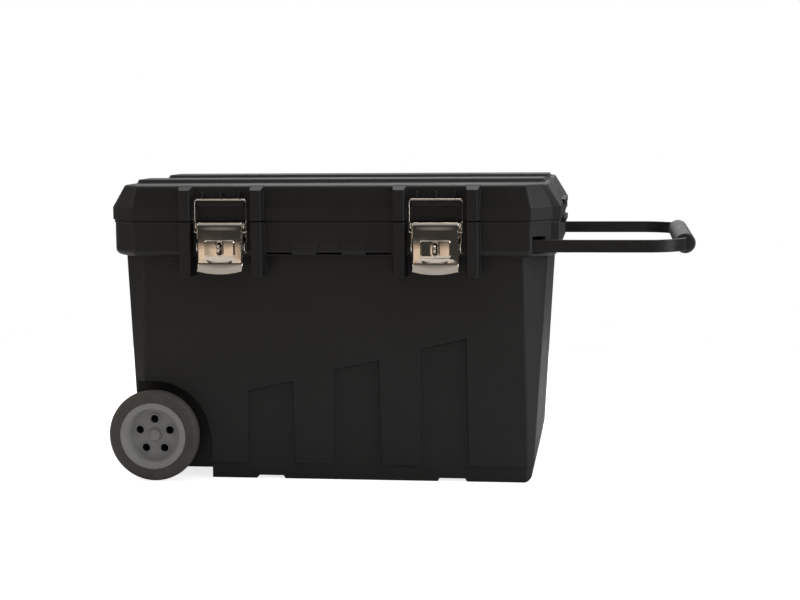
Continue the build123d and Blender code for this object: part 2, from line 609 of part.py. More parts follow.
with BuildPart() as latch_plate_left:
    add(latch_plate(-LATCH_X))
latch_plate_left.part.label = "latch_plate_left"
export_step(latch_plate_left.part, "parts/latch_plate_left.step")

with BuildPart() as latch_plate_right:
    add(latch_plate(LATCH_X))
latch_plate_right.part.label = "latch_plate_right"
export_step(latch_plate_right.part, "parts/latch_plate_right.step")

with BuildPart() as lever_left:
    add(lever(-LATCH_X))
lever_left.part.label = "lever_left"
export_step(lever_left.part, "parts/lever_left.step")

with BuildPart() as lever_right:
    add(lever(LATCH_X))
lever_right.part.label = "lever_right"
export_step(lever_right.part, "parts/lever_right.step")

with BuildPart() as bail_left:
    add(bail(-LATCH_X))
bail_left.part.label = "bail_left"
export_step(bail_left.part, "parts/bail_left.step")

with BuildPart() as bail_right:
    add(bail(LATCH_X))
bail_right.part.label = "bail_right"
export_step(bail_right.part, "parts/bail_right.step")

with BuildPart() as latch_rivets:
    with Locations([y_axis_spot(*place) for place in rivet_places((PLATE_FACE_Y - RIM_INNER_Y) / 2)]):
        Cylinder(RIVET_R, -RIM_INNER_Y - PLATE_FACE_Y + 1)
    with Locations([y_axis_spot(*place) for place in rivet_places(PLATE_FACE_Y - 0.6)]):
        Cylinder(RIVET_HEAD_R, 1.2)
    with Locations([y_axis_spot(*place) for place in rivet_places(-RIM_INNER_Y + 0.5)]):
        Cylinder(RIVET_TAIL_R, 1.0)
latch_rivets.part.label = "latch_rivets"
export_step(latch_rivets.part, "parts/latch_rivets.step")

with BuildPart() as lever_pins:
    for latch_x in (-LATCH_X, LATCH_X):
        with Locations(x_axis_spot(latch_x, PIVOT_Y, PIVOT_Z)):
            Cylinder(PIN_R, 2 * (EAR_INNER + SHEET))
        for side in SIDES:
            with Locations(x_axis_spot(latch_x + side * (EAR_INNER + SHEET + 0.4), PIVOT_Y, PIVOT_Z)):
                Cylinder(3.4, 0.8)
lever_pins.part.label = "lever_pins"
export_step(lever_pins.part, "parts/lever_pins.step")

# ---------------------------------------------------------------- wheels and axle
with BuildPart() as axle:
    with Locations(y_axis_spot(AXLE_X, 0, AXLE_Z)):
        Cylinder(AXLE_R, 2 * AXLE_HALF)
    chamfer(axle.edges(), 0.8)
axle.part.label = "axle"
export_step(axle.part, "parts/axle.step")

with BuildPart() as axle_washers:
    for side in SIDES:
        with Locations(y_axis_spot(AXLE_X, side * (WELL_BOSS_Y + 1.5), AXLE_Z)):
            Cylinder(BOSS_R, 2)
            Cylinder(AXLE_R + SLIP, 2, mode=Mode.SUBTRACT)
axle_washers.part.label = "axle_washers"
export_step(axle_washers.part, "parts/axle_washers.step")


def wheel_plane(side):
    """Plane through a wheel's middle, its X along the radius and its Y pointing outwards."""
    return Plane((AXLE_X, side * WHEEL_Y, AXLE_Z), x_dir=(0, 0, 1), z_dir=(-side, 0, 0))


def hub(side):
    """Moulded hub: barrel, raised front lip, dished disc with holes, bored boss and back ribs."""
    plane = wheel_plane(side)
    face = Plane((AXLE_X, side * WHEEL_Y, AXLE_Z), x_dir=(1, 0, 0), z_dir=(0, side, 0))
    spin = Axis((AXLE_X, 0, AXLE_Z), (0, 1, 0))
    disc_back = DISH_FACE - DISH_THICK
    with BuildPart() as centre:
        with BuildSketch(plane):
            with BuildLine():
                Polyline(
                    (HUB_BORE_R, HUB_BACK),
                    (BOSS_R, HUB_BACK),
                    (BOSS_R, disc_back),
                    (DISH_R + HUB_WALL, disc_back),
                    (HUB_LIP_R + HUB_WALL, HUB_FRONT - HUB_WALL),
                    (HUB_R - HUB_WALL, HUB_FRONT - HUB_WALL),
                    (HUB_R - HUB_WALL, HUB_BACK),
                    (HUB_R, HUB_BACK),
                    (HUB_R, HUB_FRONT - 1),
                    (HUB_R - 1, HUB_FRONT),
                    (HUB_LIP_R + 1, HUB_FRONT),
                    (HUB_LIP_R, HUB_FRONT - 1),
                    (DISH_R, DISH_FACE),
                    (BOSS_R, DISH_FACE),
                    (BOSS_R, BOSS_FRONT),
                    (HUB_BORE_R, BOSS_FRONT),
                    close=True,
                )
            make_face()
        revolve(axis=spin)
        with BuildSketch(face.offset(-10)):
            with PolarLocations(0, HUB_HOLES, 90 + 180 / HUB_HOLES):
                with Locations(((BOSS_R + HUB_R - HUB_WALL) / 2, 0)):
                    Rectangle(HUB_R - HUB_WALL - BOSS_R + 1, 3)
        extrude(amount=disc_back + 10.5)
        with BuildSketch(face.offset(disc_back + 1)):
            with PolarLocations(HUB_HOLE_CIRCLE, HUB_HOLES, 90):
                Circle(HOLE_RING_R)
        extrude(amount=BOSS_FRONT - disc_back - 1)
        with BuildSketch(face.offset(disc_back - 1)):
            with PolarLocations(HUB_HOLE_CIRCLE, HUB_HOLES, 90):
                Circle(HUB_HOLE_R)
        extrude(amount=DISH_THICK + 3, mode=Mode.SUBTRACT)
    return centre.part


def tyre(side):
    """Solid tyre, bowed towards its outer edge and tapering inwards."""
    outer_edge, inner_edge = TYRE_OUTER_BOW[0], TYRE_INNER_BOW[-1]
    with BuildPart() as ring:
        with BuildSketch(wheel_plane(side)):
            with BuildLine():
                Polyline(inner_edge, (HUB_R, -TYRE_HALF), (HUB_R, TYRE_HALF), outer_edge)
                ThreePointArc(*TYRE_OUTER_BOW)
                Line(TYRE_OUTER_BOW[-1], TYRE_INNER_BOW[0])
                ThreePointArc(*TYRE_INNER_BOW)
            make_face()
        revolve(axis=Axis((AXLE_X, 0, AXLE_Z), (0, 1, 0)))
    return ring.part


with BuildPart() as hub_front:
    add(hub(-1))
hub_front.part.label = "hub_front"
export_step(hub_front.part, "parts/hub_front.step")

with BuildPart() as hub_rear:
    add(hub(1))
hub_rear.part.label = "hub_rear"
export_step(hub_rear.part, "parts/hub_rear.step")

with BuildPart() as tyre_front:
    add(tyre(-1))
tyre_front.part.label = "tyre_front"
export_step(tyre_front.part, "parts/tyre_front.step")

with BuildPart() as tyre_rear:
    add(tyre(1))
tyre_rear.part.label = "tyre_rear"
export_step(tyre_rear.part, "parts/tyre_rear.step")

with BuildPart() as axle_caps:
    for side in SIDES:
        with BuildSketch(wheel_plane(side)):
            with BuildLine():
                Polyline(
                    (0, CAP_SEAT),
                    (AXLE_R, CAP_SEAT),
                    (AXLE_R, CAP_BACK),
                    (CAP_R, CAP_BACK),
                    *CAP_ROUND,
                    *CAP_BUTTON,
                    (0, CAP_BUTTON[-1][1]),
                    close=True,
                )
            make_face()
        revolve(axis=Axis((AXLE_X, 0, AXLE_Z), (0, 1, 0)))
axle_caps.part.label = "axle_caps"
export_step(axle_caps.part, "parts/axle_caps.step")

# ---------------------------------------------------------------- pull handle
def bar_outline(grow):
    """The bar's U seen from above, its legs cut off at the inner ends."""
    half_y, reach = BAR_FACE_Y, BAR_END_X
    with BuildSketch(Plane.XY.offset(BAR_Z - BAR_TALL / 2 - grow)) as loop:
        with Locations((reach + grow, 0)):
            RectangleRounded(900, 2 * (half_y + grow), BAR_BEND_R + grow, align=(Align.MAX, Align.CENTER))
        with Locations((reach - BAR_THICK - grow, 0)):
            RectangleRounded(
                900,
                2 * (half_y - BAR_THICK - grow),
                BAR_BEND_R - BAR_THICK - grow,
                align=(Align.MAX, Align.CENTER),
                mode=Mode.SUBTRACT,
            )
        with Locations((BAR_START_X, 0)):
            Rectangle(900, 900, align=(Align.MAX, Align.CENTER), mode=Mode.SUBTRACT)
    return loop.sketch


with BuildPart() as handle_bar:
    extrude(bar_outline(0), amount=BAR_TALL)
    stop_middle = STOP_X + STOP_LENGTH / 2
    with Locations(y_axis_spot(stop_middle, 0, BAR_Z)):
        Cylinder(RIVET_R + FIT, 500, mode=Mode.SUBTRACT)
    fillet(handle_bar.edges().filter_by(GeomType.LINE).filter_by(Axis.X), 0.8)
handle_bar.part.label = "handle_bar"
export_step(handle_bar.part, "parts/handle_bar.step")

with BuildPart() as handle_grip:
    with Locations(y_axis_spot(BAR_END_X - BAR_THICK / 2, 0, BAR_Z)):
        Cylinder(GRIP_R, 2 * GRIP_HALF)
    fillet(handle_grip.edges(), GRIP_ROUND)
    extrude(bar_outline(SLIP), amount=BAR_TALL + 2 * SLIP, mode=Mode.SUBTRACT)
handle_grip.part.label = "handle_grip"
export_step(handle_grip.part, "parts/handle_grip.step")


def sleeve(side, x0, length, y_in, y_out, margin, clearance):
    """Rectangular sleeve round one leg of the bar, a margin below its rail and above the ledge."""
    z_low, z_high = LEDGE_TOP + margin, RAIL_TOP - RAIL_SHEET - SLIP - margin
    with BuildPart() as block:
        with Locations((x0 + length / 2, side * (y_in + y_out) / 2, (z_low + z_high) / 2)):
            Box(length, y_out - y_in, z_high - z_low)
        with Locations((x0 + length / 2, side * (BAR_FACE_Y - BAR_THICK / 2), BAR_Z)):
            Box(length + 2, BAR_THICK + 2 * clearance, BAR_TALL + 2 * clearance, mode=Mode.SUBTRACT)
    return block.part


with BuildPart() as handle_stops:
    for side in SIDES:
        add(sleeve(side, STOP_X, STOP_LENGTH, STOP_INNER_Y, STOP_OUTER_Y, 0.5, SLIP))
    with Locations(y_axis_spot(stop_middle, 0, BAR_Z)):
        Cylinder(RIVET_R + FIT, 500, mode=Mode.SUBTRACT)
handle_stops.part.label = "handle_stops"
export_step(handle_stops.part, "parts/handle_stops.step")

with BuildPart() as stop_rivets:
    for side in SIDES:
        with Locations(y_axis_spot(stop_middle, side * (STOP_INNER_Y + STOP_OUTER_Y) / 2, BAR_Z)):
            Cylinder(RIVET_R, STOP_OUTER_Y - STOP_INNER_Y)
stop_rivets.part.label = "stop_rivets"
export_step(stop_rivets.part, "parts/stop_rivets.step")

with BuildPart() as handle_bushes:
    bush_x = STOP_X + STOP_LENGTH + 0.5
    for side in SIDES:
        add(sleeve(side, bush_x, BUSH_LENGTH, BUSH_INNER_Y, BUSH_OUTER_Y, 0.2, 2 * SLIP))
handle_bushes.part.label = "handle_bushes"
export_step(handle_bushes.part, "parts/handle_bushes.step")

with BuildPart() as handle_rails:
    for side in SIDES:
        with BuildSketch(Plane.YZ.offset(-RAIL_HALF_X)):
            with BuildLine():
                Polyline(
                    (side * RAIL_FRONT_Y, RAIL_TOP),
                    (side * RAIL_FRONT_Y, RAIL_TOP - RAIL_SHEET),
                    (side * (RAIL_FACE_Y + RAIL_SHEET), RAIL_TOP - RAIL_SHEET),
                    (side * (RAIL_FACE_Y + RAIL_SHEET), LEDGE_TOP + SLIP),
                    (side * (RAIL_FOOT_Y + RAIL_SHEET), LEDGE_TOP + SLIP),
                    (side * (RAIL_FOOT_Y + RAIL_SHEET), RAIL_FOOT_LOW),
                    (side * RAIL_FOOT_Y, RAIL_FOOT_LOW),
                    (side * RAIL_FOOT_Y, LEDGE_TOP + RAIL_SHEET),
                    (side * RAIL_FACE_Y, LEDGE_TOP + RAIL_SHEET),
                    (side * RAIL_FACE_Y, RAIL_TOP),
                    close=True,
                )
            make_face()
        extrude(amount=2 * RAIL_HALF_X)
        for x in SCREW_XS:
            with Locations(y_axis_spot(x, side * RAIL_FOOT_Y, SCREW_Z)):
                Cylinder(SCREW_R + SLIP, 10, mode=Mode.SUBTRACT)
handle_rails.part.label = "handle_rails"
export_step(handle_rails.part, "parts/handle_rails.step")

with BuildPart() as rail_screws:
    for side in SIDES:
        for x in SCREW_XS:
            with Locations(y_axis_spot(x, side * (RAIL_FOOT_Y + SCREW_TIP_Y) / 2, SCREW_Z)):
                Cylinder(SCREW_R, SCREW_TIP_Y - RAIL_FOOT_Y)
            with Locations(y_axis_spot(x, side * (RAIL_FOOT_Y - 0.8), SCREW_Z)):
                Cylinder(SCREW_HEAD_R, 1.6)
rail_screws.part.label = "rail_screws"
export_step(rail_screws.part, "parts/rail_screws.step")

# ---------------------------------------------------------------- tote tray
def tray_body(gap, z_low, z_high):
    """Tapered block of the tray, shrunk by a gap on every side."""
    middle, length = (TRAY_X0 + TRAY_X1) / 2, TRAY_X1 - TRAY_X0
    sections = []
    for z, half_y, trim in ((z_low, TRAY_LOW_HALF_Y, 10), (z_high, TRAY_HALF_Y, 0)):
        with BuildSketch(Plane.XY.offset(z)) as section:
            with Locations((middle, 0)):
                RectangleRounded(length - 2 * gap - trim, 2 * (half_y - gap), 14 - gap)
        sections.append(section.sketch)
    with BuildPart() as block:
        loft(sections)
    return block.part


with BuildPart() as tote_tray:
    tray_middle = (TRAY_X0 + TRAY_X1) / 2
    add(tray_body(0, TRAY_FLOOR, TRAY_TOP))
    # flanges that ride on the rails
    with Locations((tray_middle, 0, TRAY_TOP)):
        Box(
            TRAY_X1 - TRAY_X0 - 8,
            2 * TRAY_FLANGE_Y,
            TRAY_FLANGE,
            align=(Align.CENTER, Align.CENTER, Align.MAX),
        )
    add(tray_body(TRAY_WALL, TRAY_FLOOR + TRAY_WALL, TRAY_TOP + 1), mode=Mode.SUBTRACT)
    # divider along the middle, raised into a carry grip
    with BuildSketch(Plane.XZ.offset(-TRAY_WALL / 2)):
        with Locations((tray_middle, TRAY_FLOOR + 1)):
            Rectangle(TRAY_X1 - TRAY_X0 - 12, TRAY_TOP - TRAY_FLOOR - 3, align=(Align.CENTER, Align.MIN))
        with BuildLine():
            Polyline(
                (tray_middle - TRAY_GRIP_HALF - 25, TRAY_TOP - 5),
                (tray_middle - TRAY_GRIP_HALF, TRAY_GRIP_TOP),
                (tray_middle + TRAY_GRIP_HALF, TRAY_GRIP_TOP),
                (tray_middle + TRAY_GRIP_HALF + 25, TRAY_TOP - 5),
                close=True,
            )
        make_face()
    extrude(amount=TRAY_WALL)
    with Locations((tray_middle, 0, TRAY_GRIP_TOP)):
        Box(2 * TRAY_GRIP_HALF, TRAY_GRIP_WIDE, 12, align=(Align.CENTER, Align.CENTER, Align.MAX))
    with BuildSketch(Plane.XZ.offset(-TRAY_GRIP_WIDE)):
        with Locations((tray_middle, TRAY_GRIP_TOP - 12 - TRAY_SLOT_TALL / 2)):
            SlotOverall(TRAY_SLOT_LENGTH, TRAY_SLOT_TALL)
    extrude(amount=2 * TRAY_GRIP_WIDE, mode=Mode.SUBTRACT)
tote_tray.part.label = "tote_tray"
export_step(tote_tray.part, "parts/tote_tray.step")
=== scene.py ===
"""Looks of the rolling job chest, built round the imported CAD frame. Metres, +Z up."""

import json
import math

import bmesh
import bpy
from mathutils import Matrix, Vector


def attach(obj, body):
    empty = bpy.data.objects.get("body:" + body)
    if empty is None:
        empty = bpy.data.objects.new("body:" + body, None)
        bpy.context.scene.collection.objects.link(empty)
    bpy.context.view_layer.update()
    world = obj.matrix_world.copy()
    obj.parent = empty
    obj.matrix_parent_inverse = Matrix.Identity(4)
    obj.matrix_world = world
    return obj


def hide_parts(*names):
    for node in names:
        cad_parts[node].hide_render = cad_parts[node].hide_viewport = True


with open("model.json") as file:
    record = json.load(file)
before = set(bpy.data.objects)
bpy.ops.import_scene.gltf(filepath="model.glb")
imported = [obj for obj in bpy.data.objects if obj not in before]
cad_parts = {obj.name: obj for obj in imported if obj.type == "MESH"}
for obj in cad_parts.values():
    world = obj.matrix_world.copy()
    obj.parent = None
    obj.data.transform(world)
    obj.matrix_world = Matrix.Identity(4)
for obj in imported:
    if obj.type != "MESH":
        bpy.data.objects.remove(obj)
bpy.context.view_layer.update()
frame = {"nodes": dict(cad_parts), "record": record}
nodes = frame["nodes"]
scene = bpy.context.scene

# ---------------------------------------------------------------- camera
LENS_MM, SENSOR_MM = 76.957, 36.0
EYE = Vector((0.4479, -2.8911, 0.5866))
YAW, PITCH, ROLL = (math.radians(a) for a in (-7.2, 6.235, -0.494))


def make_camera():
    """Camera at the photograph's place: looking a little left and a little down."""
    ahead = Vector((math.sin(YAW) * math.cos(PITCH), math.cos(YAW) * math.cos(PITCH), -math.sin(PITCH)))
    right = Vector((math.cos(YAW), -math.sin(YAW), 0.0))
    up = right.cross(ahead)
    right, up = (
        math.cos(ROLL) * right + math.sin(ROLL) * up,
        -math.sin(ROLL) * right + math.cos(ROLL) * up,
    )
    data = bpy.data.cameras.new("camera")
    data.lens, data.sensor_width = LENS_MM, SENSOR_MM
    data.clip_start, data.clip_end = 0.05, 100.0
    camera = bpy.data.objects.new("camera", data)
    turn = Matrix((right, up, -ahead)).transposed()
    camera.matrix_world = Matrix.Translation(EYE) @ turn.to_4x4()
    scene.collection.objects.link(camera)
    scene.camera = camera


make_camera()


# ---------------------------------------------------------------- materials
class Shader:
    """A node material that is put together in a few lines."""

    def __init__(self, name):
        self.material = bpy.data.materials.new(name)
        self.material.use_nodes = True
        self.tree = self.material.node_tree
        self.tree.nodes.clear()
        self.place = self.node("ShaderNodeTexCoord").outputs["Object"]

    def node(self, kind, **sockets):
        made = self.tree.nodes.new(kind)
        for name, value in sockets.items():
            self.put(made.inputs[name.replace("_", " ")], value)
        return made

    def put(self, socket, value):
        if isinstance(value, bpy.types.NodeSocket):
            self.tree.links.new(value, socket)
        else:
            socket.default_value = value

    def noise(self, scale, detail=3.0, roughness=0.55, place=None):
        made = self.node("ShaderNodeTexNoise", Scale=scale, Detail=detail, Roughness=roughness)
        self.tree.links.new(place or self.place, made.inputs["Vector"])
        return made.outputs["Fac"]

    def voronoi(self, scale):
        made = self.node("ShaderNodeTexVoronoi", Scale=scale)
        self.tree.links.new(self.place, made.inputs["Vector"])
        return made.outputs["Distance"]

    def stretched(self, x, y, z):
        made = self.node("ShaderNodeMapping")
        made.inputs["Scale"].default_value = (x, y, z)
        self.tree.links.new(self.place, made.inputs["Vector"])
        return made.outputs["Vector"]

    def span(self, value, low, high, out_low, out_high):
        made = self.node("ShaderNodeMapRange")
        made.clamp = True
        for index, entry in enumerate((value, low, high, out_low, out_high)):
            self.put(made.inputs[index], entry)
        return made.outputs["Result"]

    def maths(self, operation, a, b=0.5):
        made = self.node("ShaderNodeMath")
        made.operation = operation
        self.put(made.inputs[0], a)
        self.put(made.inputs[1], b)
        return made.outputs[0]

    def blend(self, share, a, b):
        made = self.node("ShaderNodeMix")
        made.data_type = "RGBA"
        self.put(made.inputs[0], share)
        self.put(made.inputs[6], a)
        self.put(made.inputs[7], b)
        return made.outputs[2]

    def soft_edge(self, radius):
        made = self.node("ShaderNodeBevel", Radius=radius)
        made.samples = 6
        return made.outputs["Normal"]

    def edge_mask(self, radius):
        """1 on sharp edges, 0 on flat ground."""
        true_normal = self.node("ShaderNodeNewGeometry").outputs["Normal"]
        made = self.node("ShaderNodeVectorMath")
        made.operation = "DOT_PRODUCT"
        self.tree.links.new(self.soft_edge(radius), made.inputs[0])
        self.tree.links.new(true_normal, made.inputs[1])
        return self.span(made.outputs["Value"], 0.995, 0.85, 0.0, 1.0)

    def bump(self, height, distance, strength, normal=None):
        made = self.node("ShaderNodeBump", Strength=strength, Distance=distance)
        self.tree.links.new(height, made.inputs["Height"])
        if normal is not None:
            self.tree.links.new(normal, made.inputs["Normal"])
        return made.outputs["Normal"]

    def surface(self, **sockets):
        made = self.node("ShaderNodeBsdfPrincipled")
        for name, value in sockets.items():
            self.put(made.inputs[name.replace("_", " ")], value)
        out = self.node("ShaderNodeOutputMaterial")
        self.tree.links.new(made.outputs["BSDF"], out.inputs["Surface"])
        return self.material


def grey(value, warm=0.0):
    return (value * (1 + warm), value, value * (1 - warm), 1.0)


def moulded_plastic(name, dark, light, grain=0.00012, roughness=(0.42, 0.60), edge=0.0012):
    """Textured black plastic: spark-eroded grain, cloudy sheen, scuffed edges, faint flow marks."""
    s = Shader(name)
    cloud = s.noise(6.0, 4.0)
    flow = s.noise(1.0, 3.0, 0.6, s.stretched(5.0, 5.0, 38.0))
    scuff = s.noise(420.0, 4.0, 0.7, s.stretched(1.0, 1.0, 0.25))
    rubbed = s.span(scuff, 0.60, 0.72, 0.0, 1.0)
    worn = s.maths("MULTIPLY", s.edge_mask(edge * 1.3), s.span(s.noise(60.0, 3.0), 0.40, 0.62, 0.15, 0.8))
    base = s.blend(s.span(cloud, 0.3, 0.7, 0.0, 1.0), grey(dark, 0.02), grey(light, 0.03))
    base = s.blend(s.maths("MULTIPLY", rubbed, 0.12), base, grey(light * 2.4, 0.03))
    base = s.blend(s.maths("MULTIPLY", worn, 0.5), base, grey(light * 3.0, 0.04))
    rough = s.span(s.maths("ADD", cloud, s.maths("MULTIPLY", flow, 0.6)), 0.5, 1.1, *roughness)
    grained = s.bump(s.voronoi(900.0), grain, 0.5, s.soft_edge(edge))
    grained = s.bump(s.noise(2200.0, 2.0), grain * 0.5, 0.35, grained)
    rippled = s.bump(s.noise(14.0, 2.0), 0.0006, 0.25, grained)
    return s.surface(Base_Color=base, Roughness=rough, Normal=rippled, IOR=1.47)


def coated_steel(name):
    """Satin black powder coat with fine orange peel and rubbed edges."""
    s = Shader(name)
    peel = s.noise(750.0, 2.0)
    rub = s.span(s.noise(45.0, 4.0), 0.50, 0.68, 0.0, 1.0)
    worn = s.maths("MULTIPLY", s.edge_mask(0.0009), rub)
    base = s.blend(worn, grey(0.016), grey(0.075, 0.02))
    rough = s.span(s.noise(30.0, 3.0), 0.3, 0.7, 0.30, 0.44)
    normal = s.bump(peel, 0.00006, 0.5, s.soft_edge(0.0008))
    return s.surface(Base_Color=base, Roughness=rough, Normal=normal, IOR=1.5)


def grip_plastic(name):
    """Satin black grip: smooth, with fine turning lines and a few rubbed patches."""
    s = Shader(name)
    rings = s.noise(1.0, 2.0, 0.5, s.stretched(4.0, 900.0, 4.0))
    base = s.blend(s.span(s.noise(25.0, 4.0), 0.35, 0.7, 0.0, 1.0), grey(0.020), grey(0.040, 0.02))
    rough = s.span(s.noise(60.0, 3.0), 0.3, 0.7, 0.34, 0.50)
    normal = s.bump(rings, 0.00008, 0.35, s.bump(s.noise(1500.0, 2.0), 0.00005, 0.4, s.soft_edge(0.001)))
    return s.surface(Base_Color=base, Roughness=rough, Normal=normal, IOR=1.48)


def hub_plastic(name):
    """Grey moulded nylon with a soft sheen, faint swirl and dust in the corners."""
    s = Shader(name)
    swirl = s.noise(55.0, 4.0, 0.6)
    base = s.blend(s.span(swirl, 0.3, 0.7, 0.0, 1.0), grey(0.30), grey(0.35, 0.01))
    worn = s.maths("MULTIPLY", s.edge_mask(0.0012), s.span(s.noise(140.0, 3.0), 0.42, 0.62, 0.1, 0.8))
    base = s.blend(worn, base, grey(0.42))
    rough = s.span(s.noise(90.0, 3.0), 0.3, 0.7, 0.36, 0.50)
    normal = s.bump(s.noise(1400.0, 2.0), 0.00007, 0.45, s.soft_edge(0.0022))
    return s.surface(Base_Color=base, Roughness=rough, Normal=normal, IOR=1.5)


def tyre_rubber(name):
    """Dull dark rubber with dust rubbed into it and a fine sandy skin."""
    s = Shader(name)
    dust = s.span(s.noise(38.0, 5.0, 0.65), 0.42, 0.72, 0.0, 0.7)
    specks = s.span(s.noise(700.0, 3.0, 0.7), 0.58, 0.70, 0.0, 0.35)
    base = s.blend(dust, grey(0.066, 0.09), grey(0.108, 0.12))
    base = s.blend(specks, base, grey(0.16, 0.10))
    rough = s.span(dust, 0.0, 0.7, 0.62, 0.82)
    normal = s.bump(s.noise(900.0, 3.0, 0.7), 0.00016, 0.6, s.soft_edge(0.0012))
    return s.surface(Base_Color=base, Roughness=rough, Normal=normal, IOR=1.5)


def bright_plate(name, tone=(0.80, 0.725, 0.64, 1.0), brushed=True):
    """Nickel-plated steel: bright, slightly warm, with fine drawing lines and smudges."""
    s = Shader(name)
    lines = s.noise(1.0, 4.0, 0.7, s.stretched(2600.0, 60.0, 60.0))
    smudge = s.span(s.noise(32.0, 4.0, 0.6), 0.35, 0.7, 0.0, 1.0)
    dulled = (tone[0] * 0.82, tone[1] * 0.80, tone[2] * 0.76, 1.0)
    base = s.blend(s.maths("MULTIPLY", smudge, 0.35), tone, dulled)
    rough = s.span(smudge, 0.0, 1.0, 0.06, 0.13)
    normal = s.soft_edge(0.0005)
    if brushed:
        normal = s.bump(lines, 0.00003, 0.25, normal)
        normal = s.bump(s.noise(55.0, 2.0), 0.0004, 0.18, normal)
    return s.surface(Base_Color=base, Roughness=rough, Metallic=1.0, Normal=normal)


def zinc_steel(name):
    """Plain zinc-plated steel for pins, rivets and screws."""
    s = Shader(name)
    spangle = s.voronoi(260.0)
    base = s.blend(s.span(spangle, 0.1, 0.6, 0.0, 1.0), grey(0.42), grey(0.56, 0.01))
    rough = s.span(s.noise(80.0, 3.0), 0.3, 0.7, 0.26, 0.42)
    return s.surface(Base_Color=base, Roughness=rough, Metallic=1.0, Normal=s.soft_edge(0.0004))


FINISH = {
    "black_plastic": moulded_plastic("chest_plastic", 0.0095, 0.014, edge=0.0018),
    "tray_plastic": moulded_plastic("tray_plastic", 0.024, 0.034, 0.0001),
    "rail_plastic": moulded_plastic("rail_plastic", 0.035, 0.050, 0.00008, (0.36, 0.5), 0.0006),
    "bush_plastic": moulded_plastic("bush_plastic", 0.022, 0.030, 0.00006, (0.30, 0.42), 0.0006),
    "black_bar": coated_steel("bar_coat"),
    "grip_plastic": grip_plastic("grip_skin"),
    "hub_plastic": hub_plastic("hub_nylon"),
    "tyre": tyre_rubber("tyre_rubber"),
    "latch_chrome": bright_plate("latch_plate"),
    "wire_chrome": bright_plate("bail_wire", (0.62, 0.56, 0.50, 1.0), False),
    "steel": zinc_steel("zinc_steel"),
}
SLOT_OF = {row["node"]: row["material_slot"] for row in frame["record"]["subparts"]}


def dress(node_name):
    """Gives a CAD node the finish of its material slot."""
    piece = nodes[node_name]
    piece.data.materials.clear()
    piece.data.materials.append(FINISH[SLOT_OF[node_name]])


for node_name in nodes:
    dress(node_name)


# ---------------------------------------------------------------- levers
# Lever sizes in millimetres, read off the CAD lever; they are turned into metres when a mesh is made.
LATCH_X = {"lever_left": -171.0, "lever_right": 171.0}
PIVOT_Y, PIVOT_Z, BARREL_R = -250.0, 412.0, 6.4
HALF_WIDTH, FOLD_R, FLANGE, SHEET = 36.4, 2.2, 3.2, 1.2
FOLD_ANGLES = (0.3, 0.6, 0.9, 1.2, 1.5708)
FACE_END_Z, LIP_Y, LIP_Z, LIP_BOW, LIP_CURL = 354.0, -264.0, 336.6, 5.0, 1.7
BARREL_STEPS, FACE_STEPS, LIP_STEPS, WIDTH_STEPS = 24, 78, 22, 92
PAD_Z, PAD_HALF_X, PAD_HALF_Z, PAD_ROUND, PAD_RISE, PAD_SLOPE = 376.5, 24.0, 13.6, 3.5, 1.9, 1.9
SLOT_HALF, SLOT_REACH, SLOT_RIM, RIM_AT, RIM_WIDE, RIM_SNAP = 3.6, 6.4, 0.7, 1.3, 0.8, 2.0
SMILE_Z, SMILE_DROP, SMILE_HALF, SMILE_DEEP, SMILE_FADE, SMILE_WIDE = 359.3, 4.2, 23.0, 0.9, 6.0, 1.9
CROWN_TALL, CROWN_WIDE, CROWN_FADE, PAD_DISH = 1.1, 0.95, 8.0, 1.3
CHEEK_R, CHEEK_INSET, CHEEK_SOFT_M = 5.9, 0.1, 0.0003
EAR = (
    (PIVOT_Y - CHEEK_R, PIVOT_Z - 2.0),
    (-255.7, 392.5),
    (-252.5, 391.5),
    (-248.6, 393.6),
    (-246.2, 396.6),
    (-245.4, 400.0),
    (-245.4, 404.0),
    (-244.6, 408.5),
)


def smooth_step(value, low, high):
    """0 at low, 1 at high, with level ends."""
    share = min(1.0, max(0.0, (value - low) / (high - low)))
    return share * share * (3 - 2 * share)


def lever_path():
    """Outer line of the sheet seen from the side: barrel, straight front, curled lip."""
    points = []
    for step in range(BARREL_STEPS + 1):
        turn = math.pi * step / BARREL_STEPS
        points.append((PIVOT_Y + BARREL_R * math.cos(turn), PIVOT_Z + BARREL_R * math.sin(turn)))
    face_y = PIVOT_Y - BARREL_R
    points += [(face_y, PIVOT_Z + (FACE_END_Z - PIVOT_Z) * (i + 1) / FACE_STEPS) for i in range(FACE_STEPS)]
    for i in range(1, LIP_STEPS + 1):
        share = i / LIP_STEPS
        y = face_y + (LIP_Y - face_y) * share ** LIP_CURL
        points.append((y, FACE_END_Z + (LIP_Z - FACE_END_Z) * share))
    return points


def pad_height(x, z):
    """Relief of the front in millimetres: bowed sheet, dished pad, raised slot rim, smile-shaped crease."""
    over_x = max(0.0, abs(x) - (PAD_HALF_X - PAD_ROUND))
    over_z = max(0.0, abs(z - PAD_Z) - (PAD_HALF_Z - PAD_ROUND))
    reach = math.hypot(over_x, over_z) - PAD_ROUND
    on_pad = 1 - smooth_step(reach, -PAD_SLOPE, 0.0)
    height = on_pad * (PAD_RISE - PAD_DISH * (1 - min(1.0, (x / PAD_HALF_X) ** 2)))
    height += crown(x, z)
    slot = slot_reach(x, z)
    height += SLOT_RIM * math.exp(-(((slot - RIM_AT) / RIM_WIDE) ** 2))
    middle = SMILE_Z - SMILE_DROP * (1 - (x / SMILE_HALF) ** 2)
    if abs(x) < SMILE_HALF:
        fade = smooth_step(SMILE_HALF - abs(x), 0.0, SMILE_FADE)
        height -= SMILE_DEEP * fade * math.exp(-(((z - middle) / SMILE_WIDE) ** 2))
    return height


